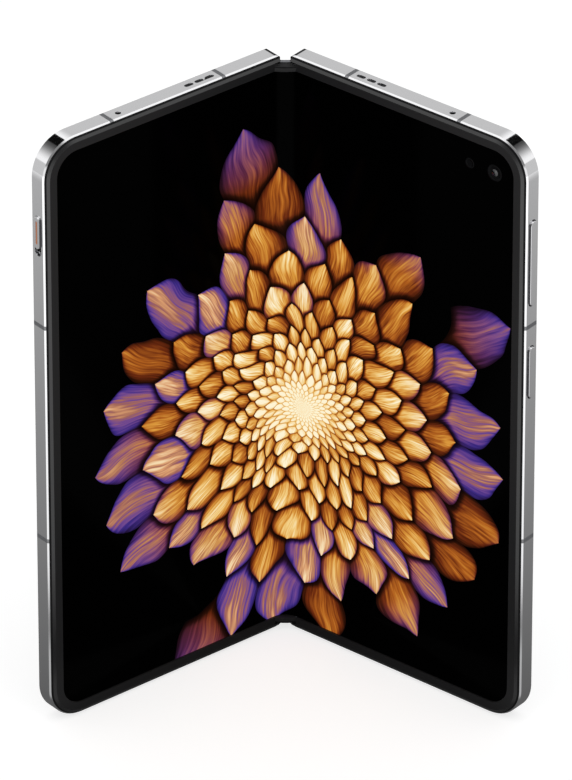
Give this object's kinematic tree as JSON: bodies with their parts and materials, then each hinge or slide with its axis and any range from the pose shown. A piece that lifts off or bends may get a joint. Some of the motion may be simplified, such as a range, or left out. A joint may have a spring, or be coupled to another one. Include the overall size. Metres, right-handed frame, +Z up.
{
  "type": "foldable smartphone",
  "caption": "Book-style foldable phone, half open and standing, with a flexible inner display, cover display, rear cameras, side keys and a mute slider.",
  "frame": {"origin": "middle of the bounding box at the lower edges that the phone stands on, with each half 39 degrees from flat", "axes": "+Z up along the fold, +X to the right half seen from the inner display, +Y from the inner display towards the back"},
  "size_m": [0.1184, 0.0486, 0.16],
  "materials": {
    "frame_metal": "satin, bead blasted",
    "rim_plastic": "matte",
    "display_glass": "polished",
    "cover_glass": "polished",
    "antenna_plastic": "satin",
    "mesh_metal": "fine mesh",
    "hinge_steel": "satin",
    "shield_steel": "rolled",
    "battery_foil": "foil pouch",
    "circuit_board": "solder mask",
    "black_plastic": "moulded",
    "copper": "lacquered",
    "lamp_glass": "ribbed"
  },
  "bodies": {
    "hinge": {"hinge_spine": "hinge_steel", "spine_end_caps": "rim_plastic", "hinge_brackets": "hinge_steel", "display_fold": "display_glass", "fold_guards": "rim_plastic"},
    "left_half": {"left_frame": "frame_metal", "left_rim": "rim_plastic", "left_display": "display_glass", "left_hinge_arms": "hinge_steel", "left_hinge_screws": "hinge_steel", "left_antenna_inserts": "antenna_plastic", "left_meshes": "mesh_metal", "left_battery": "battery_foil", "left_board": "circuit_board", "left_speaker": "black_plastic", "left_magnets": "shield_steel", "cover_glass": "cover_glass", "cover_display": "display_glass", "cover_camera": "cover_glass", "mute_switch": "black_plastic", "card_reader": "shield_steel"},
    "mute_slider": {"mute_slider": "frame_metal", "mute_inlay": "copper"},
    "card_tray": {"card_tray": "frame_metal"},
    "volume_key": {"volume_key": "frame_metal"},
    "power_key": {"power_key": "frame_metal"},
    "right_half": {"right_frame": "frame_metal", "right_rim": "rim_plastic", "right_display": "display_glass", "right_hinge_arms": "hinge_steel", "right_hinge_screws": "hinge_steel", "right_antenna_inserts": "antenna_plastic", "right_meshes": "mesh_metal", "right_battery": "battery_foil", "main_board": "circuit_board", "processor_shield": "shield_steel", "board_screws": "hinge_steel", "right_speaker": "black_plastic", "right_magnets": "shield_steel", "charging_coil": "copper", "charging_port": "shield_steel", "vibration_motor": "shield_steel", "inner_camera": "cover_glass", "light_sensor": "cover_glass", "back_cover": "cover_glass", "camera_island": "frame_metal", "camera_rings": "shield_steel", "camera_glasses": "cover_glass", "camera_modules": "black_plastic", "flash_lamp": "lamp_glass", "key_switches": "black_plastic"}
  },
  "joints": [
    {"name": "right_fold", "type": "hinge", "parent": "hinge", "child": "right_half", "pos_m": [0.00185, 0.02114, 0.08], "axis": [0, 0, 1], "range_deg": [-51, 39], "deforming": ["display_fold", "fold_guards"]},
    {"name": "left_fold", "type": "hinge", "parent": "hinge", "child": "left_half", "pos_m": [-0.00185, 0.02114, 0.08], "axis": [0, 0, 1], "range_deg": [-39, 51]},
    {"name": "volume_press", "type": "slide", "parent": "right_half", "child": "volume_key", "axis": [-0.7771, 0.6293, 0], "range_m": [0, 0.00025], "stiffness_N_per_m": 6000},
    {"name": "power_press", "type": "slide", "parent": "right_half", "child": "power_key", "axis": [-0.7771, 0.6293, 0], "range_m": [0, 0.00025], "stiffness_N_per_m": 6000},
    {"name": "mute_slide", "type": "slide", "parent": "left_half", "child": "mute_slider", "axis": [0, 0, -1], "range_m": [0, 0.002]},
    {"name": "tray_pull", "type": "slide", "parent": "left_half", "child": "card_tray", "axis": [0, 0, -1], "range_m": [0, 0.02]}
  ],
  "couplings": [
    {"joint": "left_fold", "follows": "right_fold", "ratio": -1}
  ]
}
